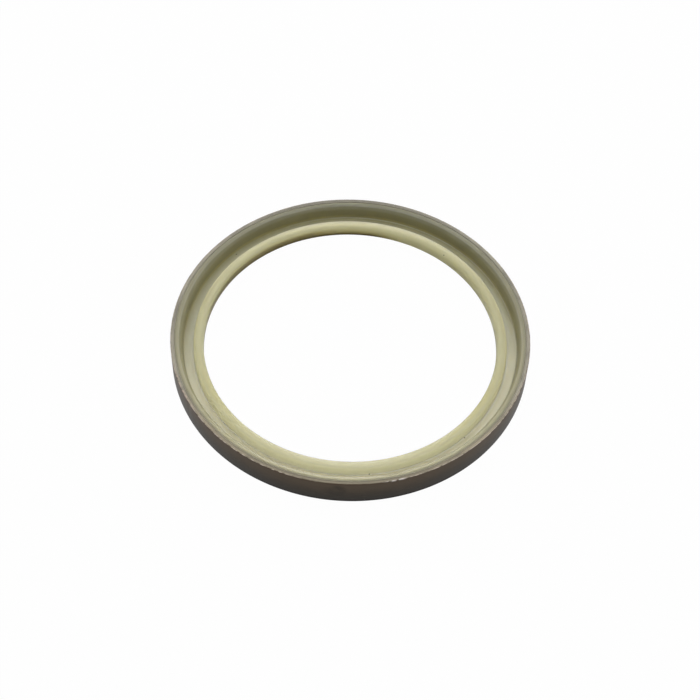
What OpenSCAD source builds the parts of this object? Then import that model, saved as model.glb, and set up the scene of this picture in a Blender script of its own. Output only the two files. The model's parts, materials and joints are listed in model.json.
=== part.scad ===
// Metal-cased rod wiper: a drawn steel ring with a polyurethane lip moulded into it.
// The ring stands on its flange, with its axis on Z and the wiping lip facing up.

/* [Main sizes] */
// Diameter of the rod that the lip wipes
rod_diameter = 76.2; // [40:0.1:160]
// Radial width of the seal, from the rod to the housing bore
section_width = 7.94; // [7.5:0.01:12]
// Height of the seal
case_height = 7.94; // [7:0.01:12]

/* [Steel case] */
// Thickness of the drawn sheet, the same in the wall and the flange
sheet = 1; // [0.6:0.05:1.3]
// Outside radius of the bend between the wall and the flange
bend_radius = 0.6; // [0.3:0.05:1]
// Bevel on both edges of the trimmed rim
rim_break = 0.15; // [0.05:0.01:0.18]
// Radial room between the rod and the hole in the flange
flange_room = 2.9; // [2.4:0.05:3.6]

/* [Polyurethane liner and groove] */
// Depth of the liner's ledge below the rim
ledge_depth = 0.2; // [0.18:0.01:0.6]
// Thickness of the liner on the case wall, at the ledge
liner_thickness = 1.66; // [1.25:0.01:2]
// Rounding of the ledge's inner edge
ledge_rounding = 1.35; // [0.2:0.01:1.4]
// Lean of the groove's outer wall
groove_lean = 8.5; // [2:0.5:12]
// Height of the groove's floor above the seat
floor_height = 4.2; // [3.2:0.05:4.6]
// Fillet at the foot of the groove's outer wall
groove_fillet = 0.3; // [0.1:0.05:0.4]

/* [Wiping lip] */
// Radial squeeze of the free lip on the rod
lip_squeeze = 0.38; // [0.1:0.01:0.6]
// Height of the lip's crest above the seat
lip_height = 6; // [5.6:0.05:7]
// Radial width of the lip, from its bore to its flank
lip_width = 3; // [2.9:0.05:3.6]
// Radial width of the bevel between the crest and the flank
bevel_width = 0.92; // [0.88:0.01:1]
// Depth of the bevel between the crest and the flank
bevel_depth = 0.8; // [0.7:0.01:0.9]
// Rounding from the bore to the crest
nose_rounding = 1.1; // [0.6:0.05:1.2]
// Rounding from the crest to the bevel
crest_rounding = 2.3; // [1:0.05:2.5]
// Rounding from the bevel to the flank
flank_rounding = 0.6; // [0.2:0.05:0.8]
// Draft of the flank, for the mould to part
flank_draft = 3; // [0:0.5:10]
// Height above the seat at which the wiping land begins
land_start = 2.8; // [2:0.05:3.4]
// Rounding of the land's lower edge
land_rounding = 0.2; // [0.05:0.05:0.4]
// Width of the heel that wraps the flange's inner edge
heel_width = 0.75; // [0.3:0.05:1.2]
// Height of the heel's underside above the seat
heel_lift = 0.25; // [0.1:0.05:0.5]

/* [Hidden] */
$fn = 96;

rod_r = rod_diameter / 2;
case_r = rod_r + section_width;
case_inner_r = case_r - sheet;
flange_r = rod_r + flange_room;
inner_bend_radius = bend_radius / 2;
lip_r = rod_r - lip_squeeze;
flank_r = lip_r + lip_width;
flank_z = lip_height - bevel_depth;
ledge_z = case_height - ledge_depth;
groove_top_r = case_inner_r - liner_thickness;
groove_foot_r = groove_top_r - (ledge_z - floor_height) * tan(groove_lean);
heel_r = flange_r - heel_width;

// Corners of the two sections that are rounded
outer_bend = [case_r, 0];
inner_bend = [case_inner_r, sheet];
ledge_corner = [groove_top_r, ledge_z];
groove_corner = [groove_foot_r, floor_height];
flank_corner = [flank_r, flank_z];
crest_corner = [flank_r - bevel_width, lip_height];
nose_corner = [lip_r, lip_height];
land_corner = [lip_r, land_start];

// Points that the edges of those corners run to
flange_top = [flange_r, sheet];
flange_bottom = [flange_r, 0];
wall_top = [case_inner_r, ledge_z];
lip_root = [flank_r + (flank_z - floor_height) * tan(flank_draft), floor_height];
heel = [heel_r, heel_lift];

// An arc of a given radius rounds a corner with edges that run to the points a and b
function unit(v) = v / norm(v);
function half_angle(corner, a, b) = acos(unit(a - corner) * unit(b - corner)) / 2;
function tangent_point(corner, a, b, radius) =
    corner + unit(a - corner) * radius / tan(half_angle(corner, a, b));
function arc_centre(corner, a, b, radius) =
    corner + unit(unit(a - corner) + unit(b - corner)) * radius / sin(half_angle(corner, a, b));

// What an arc takes off an outside corner
module outside_round(corner, a, b, radius) {
    centre = arc_centre(corner, a, b, radius);
    difference() {
        polygon([
            2 * corner - centre,
            tangent_point(corner, a, b, radius),
            centre,
            tangent_point(corner, b, a, radius),
        ]);
        translate(centre) circle(r = radius);
    }
}

// What an arc takes off the bevel that fills an inside corner
module inside_round(corner, a, b, radius) {
    translate(arc_centre(corner, a, b, radius)) circle(r = radius);
}

module case_section() {
    difference() {
        polygon([
            flange_bottom,
            outer_bend,
            [case_r, case_height - rim_break],
            [case_r - rim_break, case_height],
            [case_inner_r + rim_break, case_height],
            [case_inner_r, case_height - rim_break],
            tangent_point(inner_bend, wall_top, flange_top, inner_bend_radius),
            tangent_point(inner_bend, flange_top, wall_top, inner_bend_radius),
            flange_top,
        ]);
        inside_round(inner_bend, flange_top, wall_top, inner_bend_radius);
        outside_round(outer_bend, flange_bottom, [case_r, case_height], bend_radius);
    }
}

module wiper_section() {
    difference() {
        polygon([
            [flange_r, heel_lift],
            flange_top,
            inner_bend,
            wall_top,
            ledge_corner,
            tangent_point(groove_corner, ledge_corner, lip_root, groove_fillet),
            tangent_point(groove_corner, lip_root, ledge_corner, groove_fillet),
            lip_root,
            flank_corner,
            crest_corner,
            nose_corner,
            land_corner,
            heel,
        ]);
        inside_round(groove_corner, lip_root, ledge_corner, groove_fillet);
        outside_round(inner_bend, flange_top, wall_top, inner_bend_radius);
        outside_round(ledge_corner, wall_top, groove_corner, ledge_rounding);
        outside_round(flank_corner, lip_root, crest_corner, flank_rounding);
        outside_round(crest_corner, flank_corner, nose_corner, crest_rounding);
        outside_round(nose_corner, crest_corner, land_corner, nose_rounding);
        outside_round(land_corner, nose_corner, heel, land_rounding);
    }
}

module steel_case() {
    color([0.53, 0.5, 0.45]) rotate_extrude() case_section();
}

module polyurethane_wiper() {
    color([0.78, 0.75, 0.6]) rotate_extrude() wiper_section();
}

steel_case();
polyurethane_wiper();
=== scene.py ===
import json
import math

import bmesh
import bpy
from mathutils import Matrix, Quaternion, Vector, noise


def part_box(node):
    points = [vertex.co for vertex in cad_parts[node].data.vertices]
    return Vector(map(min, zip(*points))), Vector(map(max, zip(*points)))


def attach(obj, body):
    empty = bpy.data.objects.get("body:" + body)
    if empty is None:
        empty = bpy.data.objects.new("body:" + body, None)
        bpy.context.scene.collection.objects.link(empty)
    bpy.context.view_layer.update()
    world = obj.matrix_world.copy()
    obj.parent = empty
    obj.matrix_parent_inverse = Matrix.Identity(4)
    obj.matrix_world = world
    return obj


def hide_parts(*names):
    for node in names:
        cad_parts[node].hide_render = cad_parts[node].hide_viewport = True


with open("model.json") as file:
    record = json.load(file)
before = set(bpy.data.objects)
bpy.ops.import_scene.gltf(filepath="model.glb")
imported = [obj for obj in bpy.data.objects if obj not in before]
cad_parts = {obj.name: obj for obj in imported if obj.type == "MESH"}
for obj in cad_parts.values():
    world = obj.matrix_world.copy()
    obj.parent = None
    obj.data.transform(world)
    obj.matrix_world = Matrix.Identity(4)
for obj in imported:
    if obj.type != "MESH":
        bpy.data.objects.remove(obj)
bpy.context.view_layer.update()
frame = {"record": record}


# Steel case
# A ring of mild steel sheet, drawn to an L-shaped section and trimmed at its rim. The housing's bore
# grips its wall, and the polyurethane is bonded to its inside. It is dull, lightly oiled and a little rusty.
# Its colour also paints shade down the wall and along the rim's inner edge, and a highlight along the outer
# edge.
mm = 0.001
steps_around = 960
hair = 0.001 * mm
case_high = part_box("steel_case")[1]
case_r = case_high.x - hair
case_height = case_high.z
sheet = 1.0 * mm
case_inner_r = case_r - sheet
flange_r = 41.0 * mm
bend_radius = 0.6 * mm
inner_bend_radius = 0.3 * mm
rim_break = 0.15 * mm
bend_segments = 8
rim_segments = 3
case_crease = math.radians(50)
wear_reach = 1.3 * rim_break
wear_slant = 0.6
nick_depth = 0.05 * mm
nick_scale = 700.0
nick_threshold = 0.1
chip_angle = 15.2
chip_half_width = 3.4
chip_depth = 0.13 * mm
chip_evenness = 0.7
crumble_angle = 296.0
crumble_half_width = 9.0
crumble_depth = 0.20 * mm


def section_corner(bm, radius, height):
    """A corner of a ring's section, in the plane y = 0."""
    return bm.verts.new((radius, 0, height))


def join_corners(bm, corners):
    """Edges from each corner to the next, and from the last to the first."""
    for corner, following in zip(corners, corners[1:] + corners[:1]):
        bm.edges.new((corner, following))


def round_corner(bm, corner, distance, segments):
    """An arc over a corner, which leaves both edges at a distance from it."""
    bmesh.ops.bevel(
        bm, geom=[corner], offset=distance, offset_type="OFFSET", affect="VERTICES",
        segments=segments, profile=0.5, material=-1,
    )


def spin_section(bm):
    """Turns a section an eighth round the ring's axis, doubles that to a full turn and closes the surface."""
    bmesh.ops.spin(
        bm, geom=bm.verts[:] + bm.edges[:], cent=(0, 0, 0), axis=(0, 0, 1),
        angle=math.pi / 4, steps=steps_around // 8,
    )
    for turn in (math.pi / 4, math.pi / 2, math.pi):
        copy = bmesh.ops.duplicate(bm, geom=bm.verts[:] + bm.edges[:] + bm.faces[:])["geom"]
        copied_verts = [part for part in copy if isinstance(part, bmesh.types.BMVert)]
        bmesh.ops.rotate(bm, verts=copied_verts, cent=(0, 0, 0), matrix=Matrix.Rotation(turn, 3, "Z"))
    bmesh.ops.remove_doubles(bm, verts=bm.verts, dist=hair)
    bmesh.ops.recalc_face_normals(bm, faces=bm.faces)


def angle_of(point):
    """Angle of a point round the axis in degrees, from the front and to the right."""
    return math.degrees(math.atan2(point.x, -point.y)) % 360


def swell(angle, centre, half_width):
    """1 at an angle round the ring, and smoothly less to 0 at the half width on either side."""
    away = abs((angle - centre + 180) % 360 - 180) / half_width
    return max(0.0, 1.0 - away * away) ** 2


def wear_rim(bm):
    """Nicks, a crumbled stretch and one chip in the rim's outer edge, which is pressed in and down there."""
    for vert in bm.verts:
        from_edge = case_r - vert.co.xy.length
        if from_edge > wear_reach or vert.co.z < case_height - wear_reach:
            continue
        angle = angle_of(vert.co)
        rough = max(0.0, noise.noise(vert.co * nick_scale) - nick_threshold)
        depth = nick_depth * rough
        depth += crumble_depth * swell(angle, crumble_angle, crumble_half_width) * rough
        depth += chip_depth * swell(angle, chip_angle, chip_half_width) * (chip_evenness + rough)
        vert.co.z -= depth
        vert.co.xy *= 1 - wear_slant * depth / case_r


def finish_ring(bm, name, crease_angle):
    """A smooth-shaded object of the spun section, with creases that stay sharp."""
    mesh = bpy.data.meshes.new(name)
    bm.to_mesh(mesh)
    bm.free()
    mesh.polygons.foreach_set("use_smooth", [True] * len(mesh.polygons))
    mesh.set_sharp_from_angle(angle=crease_angle)
    ring = bpy.data.objects.new(name, mesh)
    bpy.context.scene.collection.objects.link(ring)
    return ring


case_bm = bmesh.new()
flange_bottom = section_corner(case_bm, flange_r, 0)
outer_bend = section_corner(case_bm, case_r, 0)
rim_outer = section_corner(case_bm, case_r, case_height)
rim_inner = section_corner(case_bm, case_inner_r, case_height)
inner_bend = section_corner(case_bm, case_inner_r, sheet)
flange_top = section_corner(case_bm, flange_r, sheet)
join_corners(case_bm, [flange_bottom, outer_bend, rim_outer, rim_inner, inner_bend, flange_top])
round_corner(case_bm, outer_bend, bend_radius, bend_segments)
round_corner(case_bm, inner_bend, inner_bend_radius, bend_segments)
round_corner(case_bm, rim_outer, rim_break, rim_segments)
round_corner(case_bm, rim_inner, rim_break, rim_segments)
spin_section(case_bm)
wear_rim(case_bm)
steel_case = finish_ring(case_bm, "steel_case_ring", case_crease)


def new_material(name):
    """A new material, its node tree and its Principled shader."""
    material = bpy.data.materials.new(name)
    material.use_nodes = True
    tree = material.node_tree
    return material, tree, tree.nodes["Principled BSDF"]


def add_node(tree, kind, inputs=None, **settings):
    """A node with its settings, and each of its inputs linked to a socket or set to a value."""
    node = tree.nodes.new(kind)
    for name, value in settings.items():
        setattr(node, name, value)
    for key, value in (inputs or {}).items():
        if isinstance(value, bpy.types.NodeSocket):
            tree.links.new(value, node.inputs[key])
        else:
            node.inputs[key].default_value = value
    return node


def math_node(tree, operation, *values):
    """The result of one sum on sockets or numbers."""
    return add_node(tree, "ShaderNodeMath", dict(enumerate(values)), operation=operation).outputs[0]


def ramp_mask(tree, value, low, high):
    """A mask that rises smoothly from 0 at low to 1 at high."""
    inputs = {"Value": value, "From Min": low, "From Max": high}
    return add_node(tree, "ShaderNodeMapRange", inputs, interpolation_type="SMOOTHSTEP").outputs[0]


def fall_mask(tree, value, low, high):
    """A mask that falls smoothly from 1 at low to 0 at high."""
    return math_node(tree, "SUBTRACT", 1.0, ramp_mask(tree, value, low, high))


def between(tree, share, first, last):
    """A value that goes from the first to the last as the share goes from 0 to 1."""
    return add_node(tree, "ShaderNodeMapRange", {"Value": share, "To Min": first, "To Max": last}).outputs[0]


def mix_colours(tree, factor, first, second, blend="MIX"):
    """The first colour, turned to the second by the factor."""
    inputs = {0: factor, 6: first, 7: second}
    return add_node(tree, "ShaderNodeMix", inputs, data_type="RGBA", blend_type=blend).outputs[2]


def speckle(tree, vector, scale, detail, roughness):
    """Noise that clouds or flecks a surface."""
    inputs = {"Vector": vector, "Scale": scale, "Detail": detail, "Roughness": roughness}
    return add_node(tree, "ShaderNodeTexNoise", inputs).outputs[0]


def new_group(name, inputs, outputs):
    """A shader node group with named sockets, its inputs given as (kind, default)."""
    group = bpy.data.node_groups.new(name, "ShaderNodeTree")
    for socket, (kind, default) in inputs.items():
        item = group.interface.new_socket(socket, in_out="INPUT", socket_type=kind)
        if default is not None:
            item.default_value = default
    for socket, kind in outputs.items():
        group.interface.new_socket(socket, in_out="OUTPUT", socket_type=kind)
    return group, group.nodes.new("NodeGroupInput"), group.nodes.new("NodeGroupOutput")


def make_ring_place():
    """Where a point is on the ring: its radius and height in mm, and its direction from the axis."""
    group, given, result = new_group(
        "ring place",
        {"Position": ("NodeSocketVector", None)},
        {"Radius": "NodeSocketFloat", "Height": "NodeSocketFloat", "Direction": "NodeSocketVector"},
    )
    place = add_node(group, "ShaderNodeSeparateXYZ", {0: given.outputs["Position"]})
    flat = add_node(group, "ShaderNodeCombineXYZ", {0: place.outputs[0], 1: place.outputs[1]}).outputs[0]
    length = add_node(group, "ShaderNodeVectorMath", {0: flat}, operation="LENGTH").outputs["Value"]
    radius = math_node(group, "DIVIDE", length, mm)
    height = math_node(group, "DIVIDE", place.outputs[2], mm)
    direction = add_node(group, "ShaderNodeVectorMath", {0: flat}, operation="NORMALIZE").outputs["Vector"]
    group.links.new(radius, result.inputs["Radius"])
    group.links.new(height, result.inputs["Height"])
    group.links.new(direction, result.inputs["Direction"])
    return group


def make_ring_streaks():
    """Fine marks that run round the ring, as drawing, turning and moulding tools leave them."""
    group, given, result = new_group(
        "ring streaks",
        {
            "Position": ("NodeSocketVector", None),
            "Around": ("NodeSocketFloat", 6.0),
            "Across": ("NodeSocketFloat", 4.0),
            "Detail": ("NodeSocketFloat", 3.0),
        },
        {"Streak": "NodeSocketFloat"},
    )
    place = add_node(group, "ShaderNodeGroup", {"Position": given.outputs["Position"]}, node_tree=ring_place)
    around = add_node(
        group, "ShaderNodeVectorMath",
        {0: place.outputs["Direction"], "Scale": given.outputs["Around"]}, operation="SCALE",
    ).outputs["Vector"]
    across = math_node(group, "MULTIPLY", place.outputs["Radius"], given.outputs["Across"])
    lift = add_node(group, "ShaderNodeCombineXYZ", {2: across}).outputs[0]
    sample = add_node(group, "ShaderNodeVectorMath", {0: around, 1: lift}, operation="ADD").outputs["Vector"]
    depth = math_node(group, "MULTIPLY", place.outputs["Height"], given.outputs["Across"])
    marks = add_node(
        group, "ShaderNodeTexNoise",
        {"Vector": sample, "W": depth, "Scale": 1.0, "Detail": given.outputs["Detail"], "Roughness": 0.55},
        noise_dimensions="4D",
    )
    group.links.new(marks.outputs[0], result.inputs["Streak"])
    return group


def make_spot_mask():
    """A soft-edged spot round a point, its radius given in mm."""
    group, given, result = new_group(
        "spot mask",
        {
            "Position": ("NodeSocketVector", None),
            "Centre": ("NodeSocketVector", (0, 0, 0)),
            "Size": ("NodeSocketFloat", 1.0),
        },
        {"Mask": "NodeSocketFloat"},
    )
    ends = {0: given.outputs["Position"], 1: given.outputs["Centre"]}
    away = add_node(group, "ShaderNodeVectorMath", ends, operation="DISTANCE").outputs["Value"]
    share = math_node(group, "DIVIDE", math_node(group, "DIVIDE", away, mm), given.outputs["Size"])
    group.links.new(fall_mask(group, share, 0.4, 1.0), result.inputs["Mask"])
    return group


def spot(tree, position, centre_mm, size_mm):
    """The mask of one spot."""
    inputs = {"Position": position, "Centre": Vector(centre_mm) * mm, "Size": size_mm}
    return add_node(tree, "ShaderNodeGroup", inputs, node_tree=spot_mask).outputs["Mask"]


def arc_mask(tree, direction, angle, half_width):
    """1 over an arc round an angle from the front, in degrees, with soft ends."""
    turn = math.radians(angle)
    towards = (math.sin(turn), -math.cos(turn), 0)
    inputs = {0: direction, 1: towards}
    near = add_node(tree, "ShaderNodeVectorMath", inputs, operation="DOT_PRODUCT").outputs["Value"]
    arc_end, full_arc = math.radians(half_width), math.radians(0.6 * half_width)
    return ramp_mask(tree, near, math.cos(arc_end), math.cos(full_arc))


def band_mask(tree, value, low, high, soft):
    """1 between two values, with soft ends."""
    risen = ramp_mask(tree, value, low - soft, low + soft)
    return math_node(tree, "MULTIPLY", risen, fall_mask(tree, value, high - soft, high + soft))


def part_of(tree, mask, *shares):
    """A mask times numbers or other masks."""
    for share in shares:
        mask = math_node(tree, "MULTIPLY", mask, share)
    return mask


def beyond(size, steps):
    """Distances in mm, reached by steps in mm from a size in metres."""
    return [size / mm + step for step in steps]


def streaks(tree, position, marks):
    """The marks that a tool has left round the ring."""
    inputs = {"Position": position, **marks}
    return add_node(tree, "ShaderNodeGroup", inputs, node_tree=ring_streaks).outputs["Streak"]


ring_place = make_ring_place()
ring_streaks = make_ring_streaks()
spot_mask = make_spot_mask()

wall_top_steel = (0.108, 0.081, 0.056, 1)
# The lower wall and foot colours are painted shade on the steel.
wall_low_shaded_steel = (0.031, 0.0262, 0.0205, 1)
wall_foot_painted_shade = (0.008, 0.007, 0.006, 1)
flange_steel = (0.10, 0.088, 0.07, 1)
drawn_line_steel = (0.112, 0.093, 0.072, 1)
rim_bright = (0.168, 0.158, 0.128, 1)
rim_dull = (0.117, 0.110, 0.090, 1)
rim_worn = (0.25, 0.232, 0.185, 1)
# Painted shade for the rim's inner edge, by the joint with the ledge.
rim_joint_painted_shade = (0.075, 0.07, 0.055, 1)
# A painted highlight for the rim's outer edge.
edge_painted_highlight = (0.46, 0.40, 0.335, 1)
bare_steel = (0.47, 0.435, 0.40, 1)
crumbled_steel = (0.33, 0.265, 0.215, 1)
rust_brown = (0.075, 0.045, 0.032, 1)
flash_film = (0.46, 0.435, 0.35, 1)
rim_warmth = (0.95, 0.89, 0.80, 1)

# Where each finish, painted shade and painted highlight lies: out and up in mm from an edge, a fade in mm
# above the seat, angles from the front
smudge_centre = (-2.3, -46.0, 4.8)
smudge_size = 3.4
smudge_share = 0.6
striae_angle = 66.0
striae_half_width = 6.0
striae_scale = 240.0
striae_lines = (0.5, 0.62)
striae_share = 0.8
drawing_marks = {"Around": 14.0, "Across": 2.5, "Detail": 4.0}
drawn_lines = (0.45, 0.8)
drawn_share = 0.35
turning_marks = {"Around": 0.7, "Across": 6.0, "Detail": 1.0}
turned_share = 0.7
rim_grain_share = 0.6
rim_lines = (0.45, 0.85)
blotch_scale = 140.0
blotch_rise = 2.0
fleck_scale = 900.0
grain_scale = 2600.0
wear_patches = (0.35, 0.6)
worn_share = 0.6
worn_sides = (0.25, 0.75)
wall_fade_start = 1.0
wall_foot_shade_fade = (0.2, 1.8)
flange_up = (0, 0.2)
flange_out = (-0.7, -0.3)
rim_up = (-0.17, -0.05)
rim_warm_angle = 0
rim_warm_half_width = 75
joint_shade_out = (0.13, 0.3)
joint_shade_softness = 0.05
joint_shade_share = 0.35
rust_out = (-0.24, -0.06)
rust_up = (-0.7, -0.15)
rust_patches = (0.3, 0.6)
rust_share = 0.7
bright_out = (-0.26, -0.12)
bright_up = (-0.16, -0.08)
bright_sides = (0.1, 0.45)
bright_flecks = (0.35, 0.6)
bright_share = 0.85
crumble_out = (-0.6, -0.2)
crumble_up = (-0.3, -0.12)
crumble_flecks = (0.42, 0.58)
chip_out = (-0.35, -0.2)
chip_up = (-0.4, -0.25)
chip_flecks = (0.38, 0.56)
film_out = (0.03, 0.14)
film_heights = (6.0, 7.0)
steel_metallic = 0.45
steel_roughness = (0.38, 0.55)
steel_specular = 0.08
steel_bump = 0.25
steel_bump_depth = 0.025 * mm
grain_bump_share = 0.65


def outer_edge(tree, place, out, up):
    """1 at the rim's outer edge, reached over steps outwards to the wall and upwards to the rim, in mm."""
    outwards = ramp_mask(tree, place.outputs["Radius"], *beyond(case_r, out))
    return part_of(tree, outwards, ramp_mask(tree, place.outputs["Height"], *beyond(case_height, up)))


def make_case_steel():
    """Dull drawn steel with a turned rim, rust and a flash film; painted shade at the wall's foot and inner
    rim, painted edge highlight.
    """
    material, tree, shader = new_material("drawn_case_steel")
    position = add_node(tree, "ShaderNodeTexCoord").outputs["Object"]
    place = add_node(tree, "ShaderNodeGroup", {"Position": position}, node_tree=ring_place)
    height = place.outputs["Height"]
    radius = place.outputs["Radius"]
    direction = place.outputs["Direction"]
    drawn = streaks(tree, position, drawing_marks)
    turned = streaks(tree, position, turning_marks)
    blotch = speckle(tree, position, blotch_scale, detail=5.0, roughness=0.6)
    flecks = speckle(tree, position, fleck_scale, detail=3.0, roughness=0.6)
    grain = speckle(tree, position, grain_scale, detail=3.0, roughness=0.6)
    striae = speckle(tree, direction, striae_scale, detail=1.0, roughness=0.5)
    aside = math_node(tree, "ABSOLUTE", add_node(tree, "ShaderNodeSeparateXYZ", {0: direction}).outputs[0])
    patches = ramp_mask(tree, blotch, *wear_patches)

    # Painted shade: the wall's colour darkens towards the bottom.
    rise = math_node(tree, "MULTIPLY_ADD", math_node(tree, "SUBTRACT", blotch, 0.5), blotch_rise, height)
    upper = ramp_mask(tree, rise, wall_fade_start, case_height / mm)
    wall = mix_colours(tree, upper, wall_low_shaded_steel, wall_top_steel)
    marked = part_of(tree, ramp_mask(tree, drawn, *drawn_lines), drawn_share)
    wall = mix_colours(tree, marked, wall, drawn_line_steel)
    smudge = part_of(tree, spot(tree, position, smudge_centre, smudge_size), patches, smudge_share)
    wall = mix_colours(tree, smudge, wall, wall_low_shaded_steel)
    # Painted shade: the wall turns nearly black at its foot.
    wall = mix_colours(tree, ramp_mask(tree, height, *wall_foot_shade_fade), wall_foot_painted_shade, wall)
    above_flange = ramp_mask(tree, height, *beyond(sheet, flange_up))
    outside_flange = ramp_mask(tree, radius, *beyond(case_r, flange_out))
    off_flange = math_node(tree, "MAXIMUM", above_flange, outside_flange)
    wall = mix_colours(tree, off_flange, flange_steel, wall)

    turned_part = math_node(tree, "MULTIPLY", turned, turned_share)
    lines = math_node(tree, "MULTIPLY_ADD", grain, rim_grain_share, turned_part)
    rim = mix_colours(tree, ramp_mask(tree, lines, *rim_lines), rim_dull, rim_bright)
    worn = part_of(tree, ramp_mask(tree, aside, *worn_sides), patches, worn_share)
    rim = mix_colours(tree, worn, rim, rim_worn)
    scratched = arc_mask(tree, direction, striae_angle, striae_half_width)
    scratches = part_of(tree, scratched, ramp_mask(tree, striae, *striae_lines), striae_share)
    rim = mix_colours(tree, scratches, rim, rim_worn)
    # Painted shade: a dark band along the rim's inner edge, where the step to the ledge shades it.
    joint_shade = band_mask(tree, radius, *beyond(case_inner_r, joint_shade_out), joint_shade_softness)
    rim = mix_colours(tree, part_of(tree, joint_shade, joint_shade_share), rim, rim_joint_painted_shade)
    warm = arc_mask(tree, direction, rim_warm_angle, rim_warm_half_width)
    rim = mix_colours(tree, warm, rim, rim_warmth, "MULTIPLY")
    colour = mix_colours(tree, ramp_mask(tree, height, *beyond(case_height, rim_up)), wall, rim)

    rust = outer_edge(tree, place, rust_out, rust_up)
    rust = part_of(tree, rust, ramp_mask(tree, blotch, *rust_patches), rust_share)
    colour = mix_colours(tree, rust, colour, rust_brown)
    # Painted highlight: a bright line along the outer edge at the sides, broken into flecks.
    painted_edge_highlight = part_of(
        tree, outer_edge(tree, place, bright_out, bright_up), ramp_mask(tree, aside, *bright_sides),
        ramp_mask(tree, flecks, *bright_flecks), bright_share,
    )
    colour = mix_colours(tree, painted_edge_highlight, colour, edge_painted_highlight)
    crumbled = part_of(
        tree, arc_mask(tree, direction, crumble_angle, crumble_half_width),
        outer_edge(tree, place, crumble_out, crumble_up), ramp_mask(tree, flecks, *crumble_flecks),
    )
    colour = mix_colours(tree, crumbled, colour, crumbled_steel)
    chip = part_of(
        tree, arc_mask(tree, direction, chip_angle, chip_half_width),
        outer_edge(tree, place, chip_out, chip_up), ramp_mask(tree, flecks, *chip_flecks),
    )
    colour = mix_colours(tree, chip, colour, bare_steel)
    film = fall_mask(tree, radius, *beyond(case_inner_r, film_out))
    film = part_of(tree, film, ramp_mask(tree, height, *film_heights))
    colour = mix_colours(tree, film, colour, flash_film)

    tree.links.new(colour, shader.inputs["Base Color"])
    tree.links.new(between(tree, film, steel_metallic, 0.0), shader.inputs["Metallic"])
    tree.links.new(between(tree, drawn, *steel_roughness), shader.inputs["Roughness"])
    shader.inputs["Specular IOR Level"].default_value = steel_specular
    texture = math_node(tree, "MULTIPLY_ADD", grain, grain_bump_share, drawn)
    relief = {"Strength": steel_bump, "Distance": steel_bump_depth, "Height": texture}
    tree.links.new(add_node(tree, "ShaderNodeBump", relief).outputs[0], shader.inputs["Normal"])
    return material


steel_case.data.materials.append(make_case_steel())
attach(steel_case, "root")
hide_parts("steel_case")


# Polyurethane wiper
# One moulding of pale cream polyurethane, cast into the case and bonded to it: the liner with its ledge,
# the groove that lets the lip bend, and the rounded lip that wipes the rod. It is satin and cloudy,
# yellower in the free lip and greyer where steel lies behind it.
# Its colour also paints shade in the bore, in the groove and on the shoulder, and light on the flank, the
# front floor and the shoulder.
wiper_low, wiper_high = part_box("polyurethane_wiper")
mounts = {mount["name"]: mount for mount in frame["record"]["mounts"]}
lip_r = mounts["rod_bore"]["dims"]["r_mm"] * mm
ledge_z = wiper_high.z
heel_z = wiper_low.z
lip_height = 6.0 * mm
lip_width = 2.55 * mm
bevel_width = 0.85 * mm
bevel_depth = 0.5 * mm
nose_rounding = 1.1 * mm
crest_rounding = 2.2 * mm
flank_rounding = 0.6 * mm
flank_draft = math.radians(3)
land_start = 2.8 * mm
land_rounding = 0.2 * mm
heel_width = 0.75 * mm
root_height = 3.4 * mm
floor_height = 4.2 * mm
groove_fillet = 0.3 * mm
groove_lean = math.radians(8.5)
liner_thickness = 1.66 * mm
ledge_rounding = 1.35 * mm
nose_segments = 16
fillet_segments = 10
wiper_crease = math.radians(35)
gate_angle = 14.7
gate_half_width = 4.4
gate_depth = 0.14 * mm
gate_slant = 0.7
gate_flatness = 2.5
gate_unevenness = 0.5
gate_noise_scale = 1500
gate_r = 43.75 * mm
gate_reach = 0.75 * mm
flap_angle = 11.6
flap_r = 44.5 * mm
flap_size = 0.5 * mm
flap_height = 0.12 * mm

flank_r = lip_r + lip_width
flank_z = lip_height - bevel_depth
lip_root_r = flank_r + (flank_z - root_height) * math.tan(flank_draft)
groove_top_r = case_inner_r - liner_thickness
groove_foot_r = groove_top_r - (ledge_z - floor_height) * math.tan(groove_lean)
heel_r = flange_r - heel_width


def setback(radius, angle):
    """How far from a corner of this angle an arc of this radius leaves the corner's edges."""
    return radius / math.tan(angle / 2)


def trim_gate(bm):
    """Where the gate was cut off, the ledge is flatter and uneven, with a flap of flash at one end."""
    flap_turn = math.radians(flap_angle)
    flap_centre = Vector((flap_r * math.sin(flap_turn), -flap_r * math.cos(flap_turn)))
    for vert in bm.verts:
        if vert.co.z < ledge_z - ledge_rounding:
            continue
        across = (vert.co.xy.length - gate_r) / gate_reach
        along = min(1.0, gate_flatness * swell(angle_of(vert.co), gate_angle, gate_half_width))
        cut = along * max(0.0, 1.0 - across * across)
        depth = gate_depth * cut * (1 + gate_unevenness * noise.noise(vert.co * gate_noise_scale))
        vert.co.xy *= 1 + gate_slant * depth / gate_r
        vert.co.z -= gate_slant * depth
        from_flap = (vert.co.xy - flap_centre).length / flap_size
        vert.co.z += flap_height * max(0.0, 1.0 - from_flap)


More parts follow.
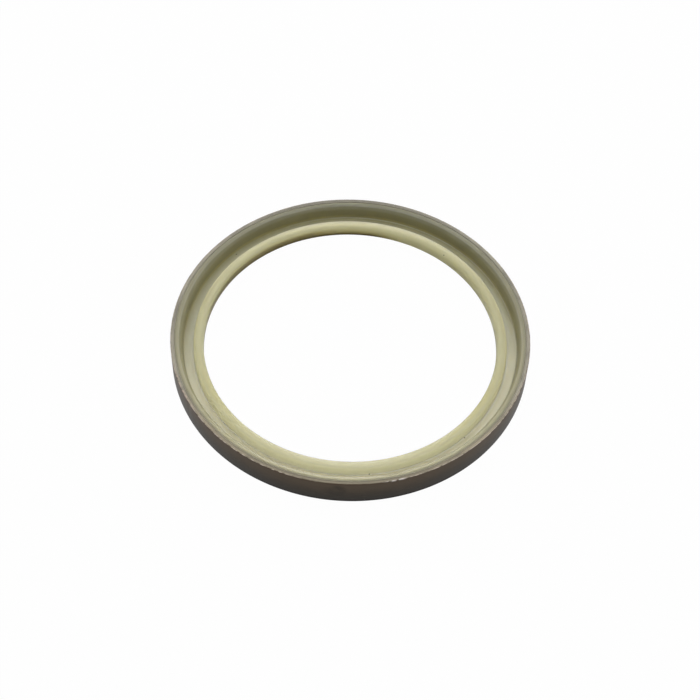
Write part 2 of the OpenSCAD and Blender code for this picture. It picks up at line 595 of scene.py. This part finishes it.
wiper_bm = bmesh.new()
lip_root = section_corner(wiper_bm, lip_root_r, root_height)
flank_corner = section_corner(wiper_bm, flank_r, flank_z)
crest_corner = section_corner(wiper_bm, flank_r - bevel_width, lip_height)
nose_corner = section_corner(wiper_bm, lip_r, lip_height)
land_corner = section_corner(wiper_bm, lip_r, land_start)
heel_tip = section_corner(wiper_bm, heel_r, heel_z)
heel_root = section_corner(wiper_bm, flange_r, heel_z)
flange_edge = section_corner(wiper_bm, flange_r, sheet)
case_corner = section_corner(wiper_bm, case_inner_r, sheet)
ledge_outer = section_corner(wiper_bm, case_inner_r, ledge_z)
ledge_inner = section_corner(wiper_bm, groove_top_r, ledge_z)
groove_corner = section_corner(wiper_bm, groove_foot_r, floor_height)
join_corners(
    wiper_bm,
    [
        nose_corner, land_corner, heel_tip, heel_root, flange_edge, case_corner, ledge_outer,
        ledge_inner, groove_corner, lip_root, flank_corner, crest_corner,
    ],
)
land_angle = math.pi - math.atan2(heel_r - lip_r, land_start - heel_z)
groove_angle = math.pi / 2 + groove_lean
floor_slope = math.atan2(floor_height - root_height, groove_foot_r - lip_root_r)
bevel_slope = math.atan2(bevel_depth, bevel_width)
flank_angle = math.pi / 2 + bevel_slope + flank_draft
round_corner(wiper_bm, nose_corner, nose_rounding, nose_segments)
round_corner(wiper_bm, crest_corner, setback(crest_rounding, math.pi - bevel_slope), nose_segments)
round_corner(wiper_bm, flank_corner, setback(flank_rounding, flank_angle), nose_segments)
round_corner(wiper_bm, land_corner, setback(land_rounding, land_angle), fillet_segments)
round_corner(wiper_bm, case_corner, inner_bend_radius, bend_segments)
round_corner(wiper_bm, ledge_inner, setback(ledge_rounding, groove_angle), fillet_segments)
round_corner(wiper_bm, groove_corner, setback(groove_fillet, groove_angle + floor_slope), fillet_segments)
spin_section(wiper_bm)
trim_gate(wiper_bm)
polyurethane_wiper = finish_ring(wiper_bm, "polyurethane_wiper_ring", wiper_crease)

lip_cream = (0.67, 0.605, 0.305, 1)
# The land, land foot and olive land colours are painted shade in the bore.
land_painted_shade = (0.36, 0.305, 0.135, 1)
land_foot_painted_shade = (0.05, 0.04, 0.014, 1)
land_olive_painted_shade = (0.15, 0.125, 0.055, 1)
# Painted light for the lip's flank.
flank_painted_light = (0.80, 0.72, 0.34, 1)
# Painted shade for the crest over the front half.
front_crest_painted_shade = (0.95, 0.90, 0.73, 1)
crease_cream = (0.92, 0.86, 0.52, 1)
floor_cream = (0.57, 0.51, 0.25, 1)
# Painted light for the groove floor over the front half.
floor_painted_light_cream = (0.77, 0.72, 0.52, 1)
root_painted_light_cream = (0.95, 0.91, 0.74, 1)
foot_line_pale = (0.88, 0.85, 0.60, 1)
# Partly painted shade: the groove wall's olive.
groove_olive_shade = (0.38, 0.35, 0.20, 1)
ledge_cream = (0.49, 0.45, 0.27, 1)
# Painted shade for a thin line on the shoulder.
shoulder_painted_shade = (0.33, 0.30, 0.17, 1)
# Painted highlight for a band on the shoulder.
shoulder_painted_highlight = (0.62, 0.60, 0.42, 1)
joint_grey = (0.34, 0.325, 0.24, 1)
# Painted shade for the ledge right by the steel.
joint_painted_shade = (0.17, 0.155, 0.105, 1)
speck_dark = (0.075, 0.064, 0.036, 1)
specks = (
    ((5.71, -39.94, 3.42), 0.28),
    ((29.09, -28.42, 3.5), 0.22),
    ((-31.42, 28.27, 3.98), 0.2),
    ((24.31, 29.10, 5.53), 0.2),
)
lip_haze = 26.0 * mm
floor_haze = 9.0 * mm
ledge_haze = 16.0 * mm
joint_haze = 0.4 * mm

# Where each finish, painted shade and painted light lies: out in mm from an edge, a fade in mm above the
# seat, angles from the front
cloud_scale = 90.0
cloud_shade = (0.93, 1.06)
moulding_marks = {"Around": 1.2, "Across": 1.6, "Detail": 1.0}
bore_out = (0.28, 0.88)
land_fade = (2.9, 5.7)
land_foot_fade = (2.75, 4.2)
olive_fade = (4.3, 5.5)
olive_angle = 228
olive_half_width = 42
olive_share = 0.7
pale_land_angle = 125
pale_land_half_width = 50
crest_out = (0.88, 2.08)
front_angle = 0
front_half_width = 90
flank_out = (-0.67, -0.07)
near_angle = 5
near_half_width = 112
root_pale_out = (0, 0.9)
foot_line_out = (-0.25, 0)
foot_line_softness = 0.06
foot_line_angle = 130
foot_line_half_width = 80
foot_line_share = 0.6
groove_wall_fade = (4.3, 5.2)
ledge_fade = (7.35, 7.72)
shoulder_fade = (6.4, 6.8)
shoulder_shade_out = (0.15, 0.4)
shoulder_shade_share = 0.35
sheen_out = (0.5, 0.75)
sheen_share = 0.3
line_softness = 0.12
by_case_out = (-0.7, -0.3)
by_case_share = 0.8
joint_out = (-0.2, -0.06)
joint_share = 0.65
liner_out = (-0.02, 0.06)
floor_margin = 0.1
haze_by_colour = (1.0, 0.95, 0.85)
polyurethane_ior = 1.45
polyurethane_specular = 0.06
polyurethane_roughness = (0.34, 0.46)
polyurethane_bump = 0.1
polyurethane_bump_depth = 0.03 * mm


def make_polyurethane():
    """Cream polyurethane: satin and cloudy, so clear that light from behind fills the lip and the groove."""
    material, tree, shader = new_material("cream_polyurethane")
    position = add_node(tree, "ShaderNodeTexCoord").outputs["Object"]
    place = add_node(tree, "ShaderNodeGroup", {"Position": position}, node_tree=ring_place)
    radius = place.outputs["Radius"]
    height = place.outputs["Height"]
    direction = place.outputs["Direction"]
    cloud = speckle(tree, position, cloud_scale, detail=4.0, roughness=0.55)
    moulded = streaks(tree, position, moulding_marks)

    # Painted light: the flank is lighter and yellower, as where light through the lip comes out.
    lip = mix_colours(tree, ramp_mask(tree, radius, *beyond(flank_r, flank_out)), lip_cream, flank_painted_light)
    # Painted shade: the crest is darker and yellower over the front arc.
    front = arc_mask(tree, direction, front_angle, front_half_width)
    crest = fall_mask(tree, radius, *beyond(lip_r, crest_out))
    lip = mix_colours(tree, part_of(tree, front, crest), lip, front_crest_painted_shade, "MULTIPLY")
    # Painted shade: the land darkens downwards to nearly black at its foot, except over one arc.
    in_bore = fall_mask(tree, radius, *beyond(lip_r, bore_out))
    unshaded_land = arc_mask(tree, direction, pale_land_angle, pale_land_half_width)
    shaded_land = part_of(tree, in_bore, math_node(tree, "SUBTRACT", 1.0, unshaded_land))
    shade_on_land = part_of(tree, shaded_land, fall_mask(tree, height, *land_fade))
    lip = mix_colours(tree, shade_on_land, lip, land_painted_shade)
    foot_shade_on_land = part_of(tree, shaded_land, fall_mask(tree, height, *land_foot_fade))
    lip = mix_colours(tree, foot_shade_on_land, lip, land_foot_painted_shade)
    # Painted shade: a darker olive stretch on the land over one arc.
    olive_shade_arc = arc_mask(tree, direction, olive_angle, olive_half_width)
    olive_shade = part_of(tree, in_bore, olive_shade_arc, fall_mask(tree, height, *olive_fade), olive_share)
    lip = mix_colours(tree, olive_shade, lip, land_olive_painted_shade)

    floor_span = (lip_root_r / mm, groove_foot_r / mm)
    liner = mix_colours(tree, ramp_mask(tree, radius, *floor_span), crease_cream, floor_cream)
    # Painted light: the groove floor is paler over the front half.
    from_root = ramp_mask(tree, radius, *beyond(lip_root_r, root_pale_out))
    front_floor_painted_light = mix_colours(tree, from_root, root_painted_light_cream, floor_painted_light_cream)
    painted_light_half = arc_mask(tree, direction, near_angle, near_half_width)
    liner = mix_colours(tree, painted_light_half, liner, front_floor_painted_light)
    foot_line = band_mask(tree, radius, *beyond(groove_foot_r, foot_line_out), foot_line_softness)
    foot_arc = arc_mask(tree, direction, foot_line_angle, foot_line_half_width)
    liner = mix_colours(tree, part_of(tree, foot_line, foot_arc, foot_line_share), liner, foot_line_pale)
    # Partly painted shade: the groove wall turns olive, greyer where steel lies close behind it and darkened
    # further as shade in the groove.
    liner = mix_colours(tree, ramp_mask(tree, height, *groove_wall_fade), liner, groove_olive_shade)
    on_ledge = ramp_mask(tree, height, *ledge_fade)
    liner = mix_colours(tree, on_ledge, liner, ledge_cream)
    gate = arc_mask(tree, direction, gate_angle, gate_half_width)
    off_gate = math_node(tree, "SUBTRACT", 1.0, gate)
    lined = part_of(tree, ramp_mask(tree, height, *shoulder_fade), off_gate)
    # Painted shade: a thin dark line on the shoulder, where the groove wall's top shows edge-on.
    shoulder_shade_line = band_mask(tree, radius, *beyond(groove_top_r, shoulder_shade_out), line_softness)
    liner = mix_colours(tree, part_of(tree, shoulder_shade_line, lined, shoulder_shade_share), liner, shoulder_painted_shade)
    # Painted highlight: a pale band along the shoulder.
    shoulder_highlight_line = band_mask(tree, radius, *beyond(groove_top_r, sheen_out), line_softness)
    liner = mix_colours(tree, part_of(tree, shoulder_highlight_line, lined, sheen_share), liner, shoulder_painted_highlight)
    by_case = part_of(tree, ramp_mask(tree, radius, *beyond(case_inner_r, by_case_out)), on_ledge)
    liner = mix_colours(tree, part_of(tree, by_case, by_case_share), liner, joint_grey)
    # Painted shade: the ledge darkens right by the steel, where the rim's step shades it.
    joint = ramp_mask(tree, radius, *beyond(case_inner_r, joint_out))
    liner = mix_colours(tree, part_of(tree, joint, on_ledge, joint_share), liner, joint_painted_shade)

    colour = mix_colours(tree, ramp_mask(tree, radius, *beyond(lip_root_r, liner_out)), lip, liner)
    for centre, size in specks:
        colour = mix_colours(tree, spot(tree, position, centre, size), colour, speck_dark)
    colour = mix_colours(tree, 1.0, colour, between(tree, cloud, *cloud_shade), "MULTIPLY")
    tree.links.new(colour, shader.inputs["Base Color"])
    floor_low, floor_high = floor_span
    on_floor = band_mask(tree, radius, floor_low + floor_margin, floor_high, floor_margin)
    haze = between(tree, on_ledge, lip_haze, ledge_haze)
    haze = between(tree, by_case, haze, joint_haze)
    haze = between(tree, part_of(tree, on_floor, painted_light_half), haze, floor_haze)
    tree.links.new(haze, shader.inputs["Subsurface Scale"])
    shader.inputs["Subsurface Weight"].default_value = 1.0
    shader.inputs["Subsurface Radius"].default_value = haze_by_colour
    shader.inputs["IOR"].default_value = polyurethane_ior
    shader.inputs["Specular IOR Level"].default_value = polyurethane_specular
    tree.links.new(between(tree, moulded, *polyurethane_roughness), shader.inputs["Roughness"])
    relief = {"Strength": polyurethane_bump, "Distance": polyurethane_bump_depth, "Height": moulded}
    tree.links.new(add_node(tree, "ShaderNodeBump", relief).outputs[0], shader.inputs["Normal"])
    return material


polyurethane_wiper.data.materials.append(make_polyurethane())
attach(polyurethane_wiper, "root")
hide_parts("polyurethane_wiper")


# Floor and studio
# A plain pale floor that shows white and keeps a faint shadow, a dim even surround, and soft lamps
# overhead and behind the ring, with weaker ones in front and at both sides.
floor_half = 4.0
floor_pale = (0.55, 0.55, 0.545, 1)
floor_white_share = 0.985

floor_bm = bmesh.new()
bmesh.ops.create_grid(floor_bm, x_segments=1, y_segments=1, size=floor_half)
floor_mesh = bpy.data.meshes.new("studio_floor")
floor_bm.to_mesh(floor_mesh)
floor_bm.free()
studio_floor = bpy.data.objects.new("studio_floor", floor_mesh)
bpy.context.scene.collection.objects.link(studio_floor)


def seen_directly(tree):
    """1 for rays that show the surroundings: from the camera, or by way of a reflection or glass."""
    path = add_node(tree, "ShaderNodeLightPath")
    mirrored = math_node(tree, "MAXIMUM", path.outputs["Is Glossy Ray"], path.outputs["Is Transmission Ray"])
    return math_node(tree, "MAXIMUM", path.outputs["Is Camera Ray"], mirrored)


def make_floor_paper():
    """White paper: a pale matt floor that is seen nearly as plain white."""
    material, tree, shader = new_material("floor_paper")
    shader.inputs["Base Color"].default_value = floor_pale
    shader.inputs["Roughness"].default_value = 0.9
    white = add_node(tree, "ShaderNodeEmission", {"Color": (1, 1, 1, 1), "Strength": 1.0})
    share = math_node(tree, "MULTIPLY", seen_directly(tree), floor_white_share)
    mixed = add_node(tree, "ShaderNodeMixShader", {0: share, 1: shader.outputs[0], 2: white.outputs[0]})
    tree.links.new(mixed.outputs[0], tree.nodes["Material Output"].inputs["Surface"])
    return material


floor_mesh.materials.append(make_floor_paper())

surround_level = 0.03
studio = bpy.data.worlds.new("studio_surround")
bpy.context.scene.world = studio
studio.use_nodes = True
surround = studio.node_tree.nodes["Background"]
surround.inputs["Color"].default_value = (1, 1, 1, 1)
shown = seen_directly(studio.node_tree)
level = math_node(studio.node_tree, "MULTIPLY_ADD", shown, 1.0 - surround_level, surround_level)
studio.node_tree.links.new(level, surround.inputs["Strength"])


def add_softbox(name, place, width, depth, power):
    """A rectangular soft lamp that faces the ring."""
    lamp = bpy.data.lights.new(name, "AREA")
    lamp.shape = "RECTANGLE"
    lamp.size = width
    lamp.size_y = depth
    lamp.energy = power
    softbox = bpy.data.objects.new(name, lamp)
    softbox.location = place
    softbox.rotation_euler = (-softbox.location).to_track_quat("-Z", "Y").to_euler()
    bpy.context.scene.collection.objects.link(softbox)


add_softbox("back_softbox", (0, 0.54, 0.45), 0.5, 0.45, 1.55)
add_softbox("top_softbox", (0, 0.2, 0.67), 0.45, 0.45, 2.9)
add_softbox("front_softbox", (0, -0.4, 0.58), 0.45, 0.45, 0.6)
add_softbox("left_softbox", (-0.65, 0.06, 0.24), 0.45, 0.45, 0.32)
add_softbox("right_softbox", (0.65, 0.06, 0.24), 0.45, 0.45, 0.6)


# Camera
# It stands in front of the ring and looks down on it, a little turned, as the photograph does.
camera_target = Vector((0, 0, 0.09 * case_r))
camera_distance = 8.95 * case_r
camera_elevation = math.radians(52.49)
camera_roll = math.radians(1.93)
picture_size = 700
focal_pixels = 1596.5
aim_drop = 2.25 * mm

camera_data = bpy.data.cameras.new("camera")
camera_data.lens = camera_data.sensor_width * focal_pixels / picture_size
camera = bpy.data.objects.new("camera", camera_data)
camera_back = Vector((0, -math.cos(camera_elevation), math.sin(camera_elevation)))
camera.location = camera_target + camera_back * camera_distance
camera_up = Vector((0, math.sin(camera_elevation), math.cos(camera_elevation)))
camera_look = camera_target - camera_up * aim_drop - camera.location
camera.rotation_mode = "QUATERNION"
camera.rotation_quaternion = camera_look.to_track_quat("-Z", "Y") @ Quaternion((0, 0, 1), camera_roll)
bpy.context.scene.collection.objects.link(camera)
bpy.context.scene.camera = camera
bpy.context.scene.view_settings.view_transform = "Standard"
